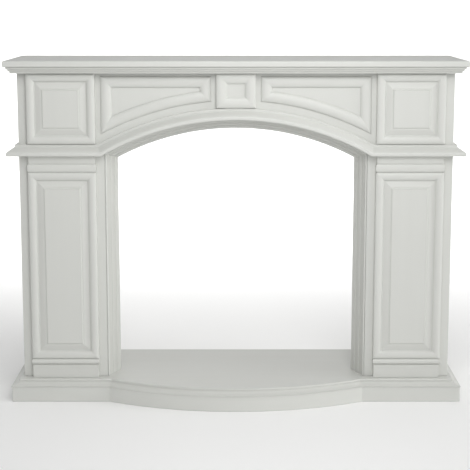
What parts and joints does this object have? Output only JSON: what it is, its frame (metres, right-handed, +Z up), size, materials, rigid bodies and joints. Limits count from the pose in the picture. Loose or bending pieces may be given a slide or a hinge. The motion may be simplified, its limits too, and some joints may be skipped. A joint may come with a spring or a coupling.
{
  "type": "wooden fireplace",
  "caption": "Painted wooden mantelpiece with a shelf on a stepped cornice, an arched frieze, panelled pilasters and a bowed hearth, made to stand against a wall.",
  "frame": {"origin": "on the floor, at the middle of the bounding box", "axes": "+X to the right of someone facing the front, +Y towards the wall, +Z up"},
  "size_m": [1.454, 0.4515, 1.1],
  "materials": {
    "white_paint": "satin white paint over wood, with softened edges",
    "bare_board": "plain unpainted board at the back"
  },
  "bodies": {
    "root": {"shelf_board": "white_paint", "cornice_front": "white_paint", "cornice_left": "white_paint", "cornice_right": "white_paint", "frieze_board": "white_paint", "jamb_board_left": "white_paint", "jamb_board_right": "white_paint", "side_board_left": "white_paint", "side_board_right": "white_paint", "back_rail": "bare_board", "key_block": "white_paint", "corner_block_left": "white_paint", "corner_block_right": "white_paint", "spandrel_roll_left": "white_paint", "spandrel_roll_right": "white_paint", "arch_moulding": "white_paint", "ledge_front_left": "white_paint", "ledge_front_right": "white_paint", "ledge_return_left": "white_paint", "ledge_return_right": "white_paint", "neck_band_left": "white_paint", "neck_band_right": "white_paint", "neck_bead_left": "white_paint", "neck_bead_right": "white_paint", "pilaster_left": "white_paint", "pilaster_right": "white_paint", "base_bead_left": "white_paint", "base_bead_right": "white_paint", "base_block_left": "white_paint", "base_block_right": "white_paint", "casing_jamb_left": "white_paint", "casing_jamb_right": "white_paint", "casing_arch": "white_paint", "hearth_board": "white_paint", "plinth_front": "white_paint", "plinth_side_left": "white_paint", "plinth_side_right": "white_paint", "plinth_back": "bare_board"}
  },
  "joints": []
}
